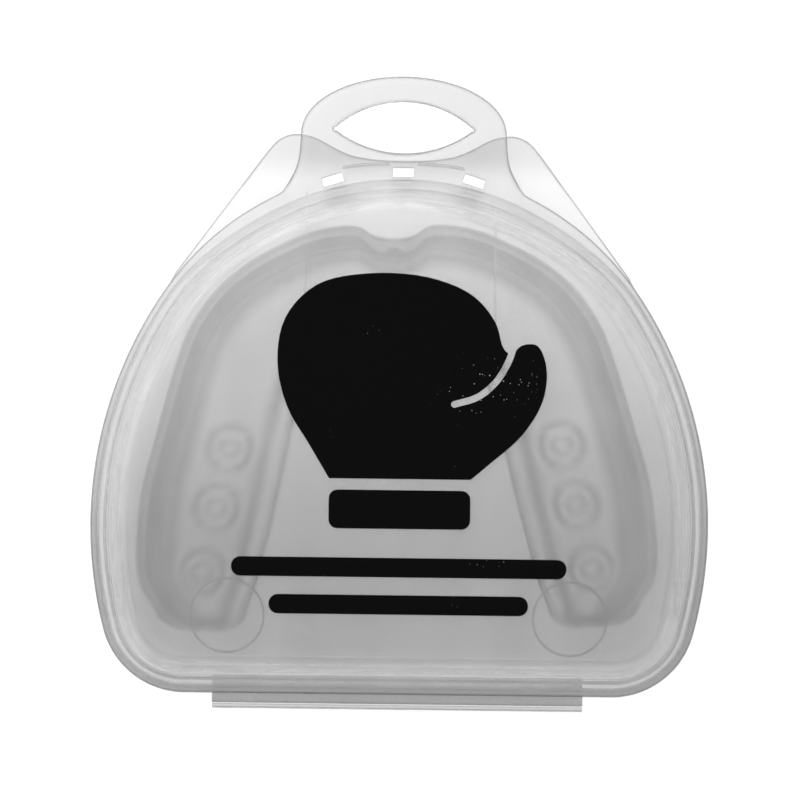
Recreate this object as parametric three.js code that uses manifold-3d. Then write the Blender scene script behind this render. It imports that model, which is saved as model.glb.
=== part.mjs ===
// Mouthguard in a hinged clear case, millimetres, +Z up, lying on the back of the case.
// The carry handle points to +Y and the living hinge runs along X at the -Y end.
import * as THREE from "three";
import { mergeVertices } from "three/addons/utils/BufferGeometryUtils.js";
import Module from "manifold-3d";

const wasm = await Module();
wasm.setup();

// Case outline: three tangent arcs a side and a straight hinge edge.
const CASE_TOP_Y = 30.75;
const CASE_BOTTOM_Y = -41.0;
const TOP_RADIUS = 39.06;
const SIDE_HALF_WIDTH = 42.0;
const SIDE_WIDEST_Y = -17.96;
const CORNER_RADIUS = 11.49;
const ARC_STEPS = [12, 14, 10];

// Shells: each half is a tub with a flange at the parting line.
const CASE_DEPTH = 27.0;
const HALF_GAP = 0.3;
const BASE_TOP_Z = 13.35;
const LID_FOOT_Z = BASE_TOP_Z + HALF_GAP;
const WALL = 1.2;
const FLANGE_THICK = 1.4;
const FLANGE_WIDE = 0.8;
const FLANGE_EXTRA_AT_SNAPS = 0.95;
const EXTRA_FROM_Y = 13.0;
const EXTRA_FULL_Y = 26.0;
const WALL_DRAFT = 1.8;
const SHOULDER_RADIUS = 3.2;
const SHOULDER_STEPS = 5;

// Locating lip on the base, inside the lid wall, and its snap nibs.
const LIP_OUTER = 2.4;
const LIP_INNER = 3.2;
const LIP_RISE = 1.3;
const LIP_END_Y = -31.0;
const NIB_WIDE = 4.0;
const NIB_PROUD = 0.14;
const NIB_SPREAD = 13.5;

// Wide ears of the base flange behind the handle.
const EAR_POINTS = [
  [31.2, 15.0], [30.6, 16.5], [18.6, 32.7], [17.0, 34.5], [15.2, 35.2], [13.0, 35.0],
  [11.5, 34.6], [9.4, 33.3], [7.0, 32.2], [4.2, 31.55], [0, 31.3],
];

// Carry handle on the lid.
const HANDLE_THICK = 2.0;
const HANDLE_HALF = 14.0;
const HANDLE_CENTRE_Y = 35.3;
const HANDLE_TOP_Y = 43.1;
const HANDLE_FOOT = [[14.15, 32.8], [14.6, 30.6], [15.7, 28.4], [15.7, 26.6]];
const EYE_HALF = 9.66;
const EYE_MID_Y = 35.9;
const EYE_TOP_Y = 39.7;
const EYE_BOTTOM_Y = 32.6;

// Three slots through both flanges above the snaps.
const SLOT_WIDE = 2.9;
const SLOT_HIGH = 1.3;
const SLOT_MID_Y = 30.05;
const SLOT_SIDE_X = 9.6;
const SLOT_SIDE_Y = 28.95;
const SLOT_TURN = 17.5;

// Round pads near the hinge corners of the lid.
const PAD_X = 23.0;
const PAD_Y = -30.0;
const PAD_RADIUS = 4.95;
const PAD_DEEP = 0.2;

// Hinge: a leaf on each half and a strap between two folds.
const HINGE_HALF = 25.2;
const LEAF_END_Y = -42.15;
const LEAF_THICK = 0.9;
const FOLD_Y = -42.3;
const FOLD_LOW_Z = 12.4;
const FOLD_HIGH_Z = 14.6;
const STRAP_OUTER_Y = -43.1;
const STRAP_INNER_Y = -42.4;
const FOLD_GAP = 0.15;

// Mouthguard, before it is turned a little in the case.
const GUARD_TURN = 1.2;
const GUARD_SHIFT_X = -0.75;
const GUARD_FOOT_Z = 1.6;
const BITE_THICK = 3.6;
const RIM_WIDE = 3.4;
const LINGUAL_WIDE = 3.0;
const RIM_FRONT_Z = 22.6;
const RIM_BACK_Z = 18.6;
const NOTCH_DROP = 4.0;
const LINGUAL_FRONT_Z = 14.5;
const LINGUAL_BACK_Z = 13.0;
const GUARD_STATIONS = 34;
const OUTER_LINE = [
  [0, 21.0], [2.6, 21.4], [5.4, 22.7], [10.7, 22.1], [15.5, 20.2], [20.2, 17.6], [24.6, 13.8],
  [28.0, 8.7], [30.3, 2.3], [32.6, -5.8], [34.5, -13.0], [35.3, -21.0], [34.9, -25.5], [33.0, -28.9],
];
const INNER_LINE = [
  [0, 5.6], [1.6, 5.6], [3.4, 5.5], [5.4, 5.3], [7.6, 4.9], [9.6, 4.1], [11.4, 2.6],
  [12.7, 0.4], [13.8, -3.2], [15.1, -9.0], [16.6, -15.6], [18.1, -21.6], [19.3, -26.0], [20.6, -29.4],
];
const MOLARS = [[22.8, -7.3], [24.7, -15.5], [26.7, -24.3]];
const MOLAR_SIZE = [3.4, 3.3, 1.7];

// Print on the lid: a plain glove shape over two stripes.
const PRINT_THICK = 0.12;
const GLOVE_BODY = [
  [-9.5, -11.5], [-12.2, -7.0], [-15.2, -2.0], [-16.6, 4.0], [-15.6, 10.0], [-11.5, 14.4], [-5.0, 16.0],
  [3.5, 15.6], [9.5, 13.2], [12.6, 9.6], [13.7, 6.2], [14.7, 5.4], [16.2, 6.6], [18.2, 6.6], [19.5, 3.6],
  [19.0, -1.0], [16.2, -5.6], [12.2, -9.2], [9.5, -11.5],
];
const THUMB_SLIT = [[15.3, 7.0], [14.3, 4.2], [12.7, 1.6], [10.3, -0.4], [7.2, -1.4]];
const THUMB_SLIT_WIDE = 0.9;
const CUFF_HALF = 9.5;
const CUFF_TOP_Y = -13.0;
const CUFF_BOTTOM_Y = -18.2;
const STRIPES = [{ half: 22.5, y: -23.4 }, { half: 17.4, y: -28.4 }];
const STRIPE_HIGH = 2.6;

const CLEAR = { color: 0xeef1f2, roughness: 0.12, metalness: 0, transparent: true, opacity: 0.35 };
const GUARD = { color: 0xc9cbcc, roughness: 0.35, metalness: 0, transparent: true, opacity: 0.7 };
const INK = { color: 0x0b0b0c, roughness: 0.45, metalness: 0 };

const rad = (degrees) => (degrees * Math.PI) / 180;
const mirrored = (half) => half.concat(half.slice().reverse().map(([x, y]) => [-x, y]));

// A three.js geometry as a manifold solid, and back.
function solid(geometry) {
  const plain = new THREE.BufferGeometry();
  plain.setAttribute("position", geometry.getAttribute("position"));
  if (geometry.index) plain.setIndex(geometry.index);
  const merged = mergeVertices(plain, 1e-4);
  const vertProperties = new Float32Array(merged.attributes.position.array);
  const triVerts = new Uint32Array(merged.index.array);
  return new wasm.Manifold(new wasm.Mesh({ numProp: 3, vertProperties, triVerts }));
}

function node(name, body, look) {
  const mesh = body.getMesh();
  const geometry = new THREE.BufferGeometry();
  const positions = [];
  for (let i = 0; i < mesh.vertProperties.length; i += mesh.numProp)
    positions.push(...mesh.vertProperties.slice(i, i + 3));
  geometry.setAttribute("position", new THREE.Float32BufferAttribute(positions, 3));
  geometry.setIndex(Array.from(mesh.triVerts));
  geometry.computeVertexNormals();
  const piece = new THREE.Mesh(geometry, new THREE.MeshStandardMaterial(look));
  piece.name = name;
  return piece;
}

// A flat plate cut to an outline of [x, y] points, from one height to another.
function plate(points, low, high) {
  const shape = new THREE.Shape(points.map(([x, y]) => new THREE.Vector2(x, y)));
  const geometry = new THREE.ExtrudeGeometry(shape, { depth: high - low, bevelEnabled: false });
  return solid(geometry.translate(0, 0, low));
}

// A solid skinned over rings with equal numbers of points, capped at both ends.
function skin(rings) {
  const count = rings[0].length;
  const positions = rings.flat(2);
  const index = [];
  for (let r = 0; r + 1 < rings.length; r++)
    for (let i = 0; i < count; i++) {
      const a = r * count + i;
      const b = r * count + ((i + 1) % count);
      index.push(a, b, b + count, a, b + count, a + count);
    }
  const last = (rings.length - 1) * count;
  for (const [i, j, k] of capFaces(rings[0])) index.push(k, j, i);
  for (const [i, j, k] of capFaces(rings.at(-1))) index.push(last + i, last + j, last + k);
  const geometry = new THREE.BufferGeometry();
  geometry.setAttribute("position", new THREE.Float32BufferAttribute(positions, 3));
  geometry.setIndex(index);
  const made = solid(geometry);
  if (made.volume() > 0) return made;
  geometry.setIndex(index.reverse());
  return solid(geometry);
}

// Triangles over a flat ring, wound the way the ring runs.
function capFaces(ring) {
  const flat = capPlane(ring);
  const along = Math.sign(THREE.ShapeUtils.area(flat));
  return THREE.ShapeUtils.triangulateShape(flat, []).map(([i, j, k]) =>
    Math.sign(THREE.ShapeUtils.area([flat[i], flat[j], flat[k]])) === along ? [i, j, k] : [k, j, i],
  );
}

// Ring points in their own plane: level, or upright through the two farthest points.
function capPlane(ring) {
  const rise = Math.max(...ring.map((p) => p[2])) - Math.min(...ring.map((p) => p[2]));
  if (rise < 1e-6) return ring.map(([x, y]) => new THREE.Vector2(x, y));
  const far = ring.reduce((best, p) => (distance(p, ring[0]) > distance(best, ring[0]) ? p : best));
  const length = distance(far, ring[0]);
  const [dx, dy] = [(far[0] - ring[0][0]) / length, (far[1] - ring[0][1]) / length];
  return ring.map(([x, y, z]) => new THREE.Vector2(x * dx + y * dy, z));
}

const distance = (a, b) => Math.hypot(a[0] - b[0], a[1] - b[1]);

// The case outline, drawn in by an inset.
function outline(inset) {
  const top = [0, CASE_TOP_Y - TOP_RADIUS];
  const rise = SIDE_WIDEST_Y - top[1];
  const side = (SIDE_HALF_WIDTH ** 2 + rise ** 2 - TOP_RADIUS ** 2) / (2 * (SIDE_HALF_WIDTH - TOP_RADIUS));
  const sideAt = [SIDE_HALF_WIDTH - side, SIDE_WIDEST_Y];
  const cornerY = CASE_BOTTOM_Y + CORNER_RADIUS;
  const reach = Math.sqrt((side - CORNER_RADIUS) ** 2 - (cornerY - SIDE_WIDEST_Y) ** 2);
  const corner = [sideAt[0] + reach, cornerY];
  const first = Math.atan2(top[1] - sideAt[1], top[0] - sideAt[0]);
  const second = Math.atan2(corner[1] - sideAt[1], corner[0] - sideAt[0]);
  const half = [
    ...arc(top, TOP_RADIUS - inset, Math.PI / 2, first, ARC_STEPS[0]),
    ...arc(sideAt, side - inset, first, second, ARC_STEPS[1]).slice(1),
    ...arc(corner, CORNER_RADIUS - inset, second, -Math.PI / 2, ARC_STEPS[2]).slice(1),
  ];
  return half.concat(half.slice(1).reverse().map(([x, y]) => [-x, y]));
}

// A line of the walls: the outline drawn in, and further in where the snaps need a wider flange.
function wallLine(inset) {
  const wide = outline(inset);
  const narrow = outline(inset + FLANGE_EXTRA_AT_SNAPS);
  return wide.map(([x, y], i) => {
    const share = THREE.MathUtils.smoothstep(y, EXTRA_FROM_Y, EXTRA_FULL_Y);
    return [x + (narrow[i][0] - x) * share, y + (narrow[i][1] - y) * share];
  });
}

function arc([cx, cy], radius, from, to, steps) {
  const points = [];
  for (let i = 0; i <= steps; i++) {
    const angle = from + ((to - from) * i) / steps;
    points.push([cx + radius * Math.cos(angle), cy + radius * Math.sin(angle)]);
  }
  return points;
}

// Rings of a tub from its foot to its rounded shoulder; depth and insets shrink by the skin.
function tubRings(skinThick, foot, depth, up) {
  const high = depth - skinThick;
  const radius = SHOULDER_RADIUS - skinThick;
  const wallTop = high - radius;
  const level = (inset, rise) => wallLine(inset).map(([x, y]) => [x, y, foot + up * rise]);
  const rings = [level(FLANGE_WIDE + skinThick, 0)];
  const start = FLANGE_WIDE + skinThick + WALL_DRAFT;
  for (let i = 0; i <= SHOULDER_STEPS; i++) {
    const angle = ((Math.PI / 2) * i) / SHOULDER_STEPS;
    rings.push(level(start + radius * (1 - Math.cos(angle)), wallTop + radius * Math.sin(angle)));
  }
  return rings;
}

function shell(foot, depth, up) {
  const outer = skin(tubRings(0, foot, depth, up));
  const cavity = skin(tubRings(WALL, foot, depth, up));
  const mouth = plate(wallLine(FLANGE_WIDE + WALL), foot - 0.5, foot + 0.5);
  return { outer, cavity: cavity.add(mouth) };
}

function slots() {
  const low = BASE_TOP_Z - FLANGE_THICK - 1;
  const high = LID_FOOT_Z + FLANGE_THICK + 1;
  const box = (x, y, turn) =>
    solid(new THREE.BoxGeometry(SLOT_WIDE, SLOT_HIGH, high - low)
      .rotateZ(rad(turn)).translate(x, y, (low + high) / 2));
  return box(0, SLOT_MID_Y, 0)
    .add(box(-SLOT_SIDE_X, SLOT_SIDE_Y, SLOT_TURN))
    .add(box(SLOT_SIDE_X, SLOT_SIDE_Y, -SLOT_TURN));
}

// The base's locating lip, open along the hinge, with a snap nib under each slot.
function lip() {
  const low = BASE_TOP_Z - 2.2;
  const root = plate(wallLine(FLANGE_WIDE + WALL / 2), low, BASE_TOP_Z);
  const rise = plate(wallLine(LIP_OUTER), low, BASE_TOP_Z + LIP_RISE);
  const hole = plate(wallLine(LIP_INNER), low - 1, BASE_TOP_Z + LIP_RISE + 1);
  const cut = solid(new THREE.BoxGeometry(100, 20, 20).translate(0, LIP_END_Y - 10, BASE_TOP_Z));
  let made = root.add(rise).subtract(hole).subtract(cut);
  for (const turn of [-NIB_SPREAD, 0, NIB_SPREAD]) made = made.add(nib(turn));
  return made;
}

function nib(turn) {
  const centreY = CASE_TOP_Y - TOP_RADIUS;
  const reach = TOP_RADIUS - LIP_OUTER - FLANGE_EXTRA_AT_SNAPS + NIB_PROUD - 0.4;
  const block = new THREE.BoxGeometry(NIB_WIDE, 0.8, 0.7);
  block.translate(0, reach, BASE_TOP_Z + LIP_RISE - 0.45);
  return solid(block.rotateZ(rad(turn)).translate(0, centreY, 0));
}

function leaf(low, high) {
  const points = [
    [-HINGE_HALF, CASE_BOTTOM_Y + 1.0],
    [HINGE_HALF, CASE_BOTTOM_Y + 1.0],
    [HINGE_HALF, LEAF_END_Y],
    [-HINGE_HALF, LEAF_END_Y],
  ];
  return plate(points, low, high);
}

function baseShell() {
  const tub = shell(BASE_TOP_Z, BASE_TOP_Z, -1);
  const low = BASE_TOP_Z - FLANGE_THICK;
  const flange = plate(outline(0), low, BASE_TOP_Z);
  const ears = plate(mirrored(EAR_POINTS), low, BASE_TOP_Z);
  const hingeLeaf = leaf(FOLD_LOW_Z - LEAF_THICK / 2, FOLD_LOW_Z + LEAF_THICK / 2);
  const body = tub.outer.add(flange).add(ears).add(hingeLeaf);
  return body.subtract(tub.cavity).subtract(slots()).add(lip());
}

function handlePlate() {
  const half = [];
  for (let i = 0; i <= 14; i++) {
    const angle = ((Math.PI / 2) * (14 - i)) / 14;
    const y = HANDLE_CENTRE_Y + (HANDLE_TOP_Y - HANDLE_CENTRE_Y) * Math.sin(angle);
    half.push([HANDLE_HALF * Math.cos(angle), y]);
  }
  half.push(...HANDLE_FOOT);
  const points = half.concat(half.slice(1).reverse().map(([x, y]) => [-x, y]));
  return plate(points, LID_FOOT_Z, LID_FOOT_Z + HANDLE_THICK);
}

// Eye-shaped finger hole: two arcs between rounded tips.
function eyeHole() {
  const bow = (rise) => {
    const radius = (EYE_HALF ** 2 + rise ** 2) / (2 * rise);
    const reach = Math.asin(EYE_HALF / radius);
    return { radius, reach };
  };
  const up = bow(EYE_TOP_Y - EYE_MID_Y);
  const down = bow(EYE_MID_Y - EYE_BOTTOM_Y);
  const upper = arc([0, EYE_TOP_Y - up.radius], up.radius, Math.PI / 2 + up.reach, Math.PI / 2 - up.reach, 16);
  const lower = arc(
    [0, EYE_BOTTOM_Y + down.radius], down.radius, -Math.PI / 2 + down.reach, -Math.PI / 2 - down.reach, 16,
  );
  return plate(upper.concat(lower.slice(1, -1)), LID_FOOT_Z - 1, LID_FOOT_Z + HANDLE_THICK + 1);
}

function padDiscs() {
  const disc = (x) => solid(new THREE.CylinderGeometry(PAD_RADIUS, PAD_RADIUS, 2 * PAD_DEEP, 32)
    .rotateX(Math.PI / 2).translate(x, PAD_Y, CASE_DEPTH));
  return disc(PAD_X).add(disc(-PAD_X));
}

function lidShell() {
  const dome = shell(LID_FOOT_Z, CASE_DEPTH - LID_FOOT_Z, 1);
  const flange = plate(outline(0), LID_FOOT_Z, LID_FOOT_Z + FLANGE_THICK);
  const hingeLeaf = leaf(FOLD_HIGH_Z - LEAF_THICK / 2, FOLD_HIGH_Z + LEAF_THICK / 2);
  const body = dome.outer.add(flange).add(handlePlate()).add(hingeLeaf);
  return body.subtract(dome.cavity).subtract(slots()).subtract(eyeHole()).subtract(padDiscs());
}

function hingeStrap() {
  const low = FOLD_LOW_Z + FOLD_GAP;
  const high = FOLD_HIGH_Z - FOLD_GAP;
  const deep = STRAP_INNER_Y - STRAP_OUTER_Y;
  return solid(new THREE.BoxGeometry(2 * HINGE_HALF, deep, high - low)
    .translate(0, (STRAP_INNER_Y + STRAP_OUTER_Y) / 2, (low + high) / 2));
}

// A smooth line through [x, y] points, sampled evenly by point number.
function sampled(points, count) {
  const full = points.slice(1).reverse().map(([x, y]) => [-x, y]).concat(points);
  const curve = new THREE.CatmullRomCurve3(full.map(([x, y]) => new THREE.Vector3(x, y, 0)));
  const samples = [];
  for (let i = 0; i <= count; i++) samples.push(curve.getPoint(i / count));
  return samples;
}

// Cross-section of the guard, from the tongue side (0) to the lip side (wide).
function guardSection(wide, rim, lingual) {
  const foot = GUARD_FOOT_Z;
  const floor = foot + BITE_THICK;
  const inside = wide - RIM_WIDE;
  return [
    [2.2, foot], [wide - 4.0, foot], [wide - 1.8, foot + 1.4], [wide - 0.5, foot + 5], [wide, foot + 11],
    [wide - 0.1, rim - 1.2], [wide - 0.9, rim - 0.2], [wide - 2.1, rim], [inside + 0.3, rim - 0.7],
    [inside, rim - 2], [inside - 1.2, floor + 3], [inside - 2.4, floor + 0.6], [inside - 3.6, floor],
    [LINGUAL_WIDE + 1.6, floor], [LINGUAL_WIDE + 0.5, floor + 0.8], [LINGUAL_WIDE, floor + 2.4],
    [LINGUAL_WIDE - 0.3, lingual - 0.8], [LINGUAL_WIDE - 1.0, lingual], [0.9, lingual],
    [0.1, lingual - 0.9], [0, foot + 5], [0.8, foot + 1.2],
  ];
}

function guardTray() {
  const count = 2 * GUARD_STATIONS;
  const outer = sampled(OUTER_LINE, count);
  const inner = sampled(INNER_LINE, count);
  const rings = outer.map((out, i) => {
    const along = Math.abs(i / count - 0.5) * 2;
    const notch = NOTCH_DROP * Math.exp(-((out.x / 4.2) ** 2));
    const rim = RIM_FRONT_Z + (RIM_BACK_Z - RIM_FRONT_Z) * along ** 2 - notch;
    const lingual = LINGUAL_FRONT_Z + (LINGUAL_BACK_Z - LINGUAL_FRONT_Z) * along;
    const wide = distance([out.x, out.y], [inner[i].x, inner[i].y]);
    return guardSection(wide, rim, lingual).map(([s, z]) => {
      const share = s / wide;
      return [inner[i].x + (out.x - inner[i].x) * share, inner[i].y + (out.y - inner[i].y) * share, z];
    });
  });
  return skin(rings);
}

// A low bite pad under a back tooth.
function molar(x, y) {
  const ball = new THREE.SphereGeometry(1, 18, 10);
  ball.rotateX(Math.PI / 2).scale(...MOLAR_SIZE);
  return solid(ball.translate(x, y, GUARD_FOOT_Z + BITE_THICK));
}

function mouthguard() {
  let body = guardTray();
  for (const [x, y] of MOLARS) body = body.add(molar(x, y)).add(molar(-x, y));
  return body.rotate([0, 0, GUARD_TURN]).translate([GUARD_SHIFT_X, 0, 0]);
}

function printed(points) {
  return plate(points, CASE_DEPTH, CASE_DEPTH + PRINT_THICK);
}

function curveOf(points) {
  return new THREE.CatmullRomCurve3(points.map(([x, y]) => new THREE.Vector3(x, y, 0)));
}

// The slit between thumb and fist, round at its inner end.
function thumbSlit() {
  const line = curveOf(THUMB_SLIT);
  const half = THUMB_SLIT_WIDE / 2;
  const sides = [[], []];
  for (let i = 0; i <= 20; i++) {
    const p = line.getPoint(i / 20);
    const t = line.getTangent(i / 20);
    sides[0].push([p.x - t.y * half, p.y + t.x * half]);
    sides[1].unshift([p.x + t.y * half, p.y - t.x * half]);
  }
  const end = line.getPoint(1);
  const t = line.getTangent(1);
  const facing = Math.atan2(t.y, t.x);
  const tip = arc([end.x, end.y], half, facing + Math.PI / 2, facing - Math.PI / 2, 8).slice(1, -1);
  return plate([...sides[0], ...tip, ...sides[1]], CASE_DEPTH - 1, CASE_DEPTH + 1);
}

function glovePrint() {
  const edge = curveOf(GLOVE_BODY).getPoints(90).map((p) => [p.x, p.y]);
  return printed(edge).subtract(thumbSlit());
}

function barPrint(half, top, bottom, radius) {
  const points = [
    ...arc([half - radius, top - radius], radius, Math.PI / 2, 0, 6),
    ...arc([half - radius, bottom + radius], radius, 0, -Math.PI / 2, 6),
    ...arc([radius - half, bottom + radius], radius, -Math.PI / 2, -Math.PI, 6),
    ...arc([radius - half, top - radius], radius, Math.PI, Math.PI / 2, 6),
  ];
  return printed(points);
}

const root = new THREE.Group();
root.name = "mouthguard_with_case";
root.add(node("base_shell", baseShell(), CLEAR));
root.add(node("hinge_strap", hingeStrap(), CLEAR));
root.add(node("lid_shell", lidShell(), CLEAR));
root.add(node("mouthguard_tray", mouthguard(), GUARD));
root.add(node("print_glove", glovePrint(), INK));
root.add(node("print_cuff", barPrint(CUFF_HALF, CUFF_TOP_Y, CUFF_BOTTOM_Y, 1.2), INK));
STRIPES.forEach(({ half, y }, i) => {
  const bar = barPrint(half, y + STRIPE_HIGH / 2, y - STRIPE_HIGH / 2, STRIPE_HIGH / 2 - 0.05);
  root.add(node("print_stripe_" + (i + 1), bar, INK));
});

export default root;
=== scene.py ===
# Mouthguard in a clear hinged case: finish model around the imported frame, in metres.
import math

import bmesh
import bpy
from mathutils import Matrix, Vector
from mathutils.geometry import delaunay_2d_cdt


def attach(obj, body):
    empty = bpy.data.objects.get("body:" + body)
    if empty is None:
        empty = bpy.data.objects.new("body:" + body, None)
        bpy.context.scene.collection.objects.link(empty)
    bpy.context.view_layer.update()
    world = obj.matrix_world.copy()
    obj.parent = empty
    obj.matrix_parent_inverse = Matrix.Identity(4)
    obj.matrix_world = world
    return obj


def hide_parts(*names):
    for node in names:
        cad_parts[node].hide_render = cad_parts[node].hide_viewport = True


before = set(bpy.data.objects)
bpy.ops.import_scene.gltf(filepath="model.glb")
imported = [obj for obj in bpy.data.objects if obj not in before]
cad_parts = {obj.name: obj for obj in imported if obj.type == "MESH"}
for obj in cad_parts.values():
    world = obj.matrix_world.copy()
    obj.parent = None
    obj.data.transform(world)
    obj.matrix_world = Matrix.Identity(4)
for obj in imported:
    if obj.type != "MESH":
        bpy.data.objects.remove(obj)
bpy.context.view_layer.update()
scene = bpy.context.scene

MM = 0.001

# Case outline: three tangent arcs a side and a straight hinge edge.
CASE_TOP_Y = 30.75
CASE_BOTTOM_Y = -41.0
TOP_RADIUS = 39.06
SIDE_HALF_WIDTH = 42.0
SIDE_WIDEST_Y = -17.96
CORNER_RADIUS = 11.49
ARC_STEPS = (30, 40, 26)

# Mouldings.
CASE_DEPTH = 27.0
BASE_TOP_Z = 13.35
LID_FOOT_Z = 13.65
WALL = 1.2
FLANGE_THICK = 1.4
FLANGE_WIDE = 0.8
FLANGE_EXTRA_AT_SNAPS = 0.95
EXTRA_FROM_Y, EXTRA_FULL_Y = 13.0, 26.0
WALL_DRAFT = 1.8
LEDGE_AT = 0.66
LEDGE_WIDE = 0.26
SHOULDER_RADIUS = 3.2
EDGE_ROUND = 0.42
LOOP_ROUND = (1.15, 0.67)
EAR_ROUND = (0.64, 0.64)
EYE_ROUND = (1.05, 0.67)
ROUNDER_FROM_Y, ROUNDER_OVER = 27.0, 2.0
FOOT_FILLET = 0.25
LOOP_HALF_WIDE, LOOP_MIDDLE_Y, LOOP_HIGH = 14.0, 35.3, 7.8

# Lip, hinge and slots.
LIP_OUTER = 2.4
LIP_INNER = 3.2
LIP_RISE = 1.3
LIP_SINK = 2.2
LIP_END_Y = -30.8
NIB_ANGLES = (-13.5, 0.0, 13.5)
NIB_SPREAD, NIB_OUT = 2.4, 0.14
HINGE_HALF = 25.2
LEAF_THICK = 0.9
LEAF_START_Y = CASE_BOTTOM_Y + 0.2
STRAP_INNER_Y, STRAP_OUTER_Y = -42.4, -43.1
FOLD_GAP = 0.12
FOLD_Y = -42.3
FOLD_LOW_Z = 12.4
FOLD_HIGH_Z = 14.6
SLOTS = ((0.0, 30.05, 0.0), (-9.6, 28.95, 17.5), (9.6, 28.95, -17.5))
SLOT_WIDE = 2.9
SLOT_HIGH = 1.3
SLOT_ROUND = 0.12
SLOT_EDGE_ROUND = 0.1

# Small details.
PAD_X, PAD_Y = 23.0, -30.0
PAD_RIM = ((5.13, -0.02), (5.08, 0.05), (5.0, 0.08), (4.9, 0.08), (4.82, 0.05), (4.77, -0.02))
SNAP_PADS = ((-8.3, 26.55), (8.2, 26.3))
SNAP_PAD_Z = 8.9
SNAP_PAD_RUN = ((-2.1, 0.4), (-1.9, 0.8), (-1.4, 1.0), (1.4, 1.0), (1.9, 0.8), (2.1, 0.4))
SNAP_PAD_SECTION = ((-0.5, -1.4), (-0.62, 0.0), (-0.5, 1.4), (0.4, 1.9), (0.6, 0.0), (0.4, -1.9))
INSERT_LINES = (
    ((-12.9, 27.0), (-13.0, 16.0), (-13.05, 6.4), (-12.3, 5.5)),
    ((12.4, 27.0), (12.5, 16.0), (12.55, 6.4), (11.8, 5.5)))
CROSS_LINE = ((-11.6, 5.45), (0.0, 5.5), (11.1, 5.45))
SLOT_RIDGE = ((1.9, 31.16), (4.4, 31.08), (6.6, 30.86), (8.3, 30.58))

# Mouthguard.
GUARD_TURN = math.radians(1.2)
GUARD_SHIFT_X = -0.75
GUARD_FOOT = 1.6
GUARD_RIM, RIM_DROP = 22.6, 4.0
NOTCH_DEEP, NOTCH_HALF_WIDE = 4.0, 4.2
TONGUE_WALL, TONGUE_WALL_DROP = 14.5, 1.5
CHANNEL_FLOOR = GUARD_FOOT + 3.6
ARM_END_RUN = 3.0
OUTER_LINE = (
    (0, 21.0), (2.6, 21.4), (5.4, 22.7), (10.7, 22.1), (15.5, 20.2), (20.2, 17.6), (24.6, 13.8),
    (28.0, 8.7), (30.3, 2.3), (32.6, -5.8), (34.5, -13.0), (35.3, -21.0), (34.9, -25.5),
    (33.0, -28.9))
INNER_LINE = (
    (0, 5.6), (1.6, 5.6), (3.4, 5.5), (5.4, 5.3), (7.6, 4.9), (9.6, 4.1), (11.4, 2.6),
    (12.7, 0.4), (13.8, -3.2), (15.1, -9.0), (16.6, -15.6), (18.1, -21.6), (19.3, -26.0),
    (20.6, -29.4))
MOLARS = ((22.8, -7.3), (24.7, -15.5), (26.7, -24.3))
LOBE_SIZE, LOBE_HIGH = (3.1, 2.9), 2.8
PIT_SIZE, PIT_DEEP = (1.6, 1.5), 2.0

# Studio.
ROOM_HINGE_SIDE = 0.6
ROOM_LOOP_SIDE = 1.0
ROOM_OVERHEAD = 0.75
FLOOR_GLOW = 0.85
LAMP_AIM = Vector((0.0, 0.0, 0.01))
FLOOR_HALF = 2.5
FLOOR_DROP = 0.0001
CAMERA_HEIGHT = 0.9
CAMERA_AIM = (-0.0001, -0.0009, 0.0135)
CAMERA_TURN = math.radians(0.7)
VIEW_WIDE = 0.10892
SENSOR_WIDE = 36.0


# ---- outlines, in millimetres ----

def arc(cx, cy, radius, start, end, steps):
    """Points along an arc, both ends included."""
    points = []
    for i in range(steps + 1):
        a = start + (end - start) * i / steps
        points.append((cx + radius * math.cos(a), cy + radius * math.sin(a)))
    return points


def case_half(inset):
    """Right half of the case outline, from the top centre round to the hinge edge."""
    top_y = CASE_TOP_Y - TOP_RADIUS
    rise = SIDE_WIDEST_Y - top_y
    side = (SIDE_HALF_WIDTH ** 2 + rise ** 2 - TOP_RADIUS ** 2) / (
        2 * (SIDE_HALF_WIDTH - TOP_RADIUS))
    side_x = SIDE_HALF_WIDTH - side
    corner_y = CASE_BOTTOM_Y + CORNER_RADIUS
    reach = math.sqrt((side - CORNER_RADIUS) ** 2 - (corner_y - SIDE_WIDEST_Y) ** 2)
    first = math.atan2(top_y - SIDE_WIDEST_Y, -side_x)
    second = math.atan2(corner_y - SIDE_WIDEST_Y, reach)
    half = arc(0, top_y, TOP_RADIUS - inset, math.pi / 2, first, ARC_STEPS[0])
    half += arc(side_x, SIDE_WIDEST_Y, side - inset, first, second, ARC_STEPS[1])[1:]
    half += arc(side_x + reach, corner_y, CORNER_RADIUS - inset, second, -math.pi / 2,
                ARC_STEPS[2])[1:]
    return half


def whole(half):
    """A closed loop from its right half, which starts and may end on the centre line."""
    left = [(-x, y) for x, y in reversed(half) if x > 1e-6]
    return half + left


def wall_half(inset):
    """A line of the walls, further in at the top, where the snaps need a wider flange."""
    made = []
    for (x, y), (nx, ny) in zip(case_half(inset), case_half(inset + FLANGE_EXTRA_AT_SNAPS)):
        t = min(1.0, max(0.0, (y - EXTRA_FROM_Y) / (EXTRA_FULL_Y - EXTRA_FROM_Y)))
        share = t * t * (3 - 2 * t)
        made.append((x + (nx - x) * share, y + (ny - y) * share))
    return made


def wall_line(inset):
    return whole(wall_half(inset))


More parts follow.
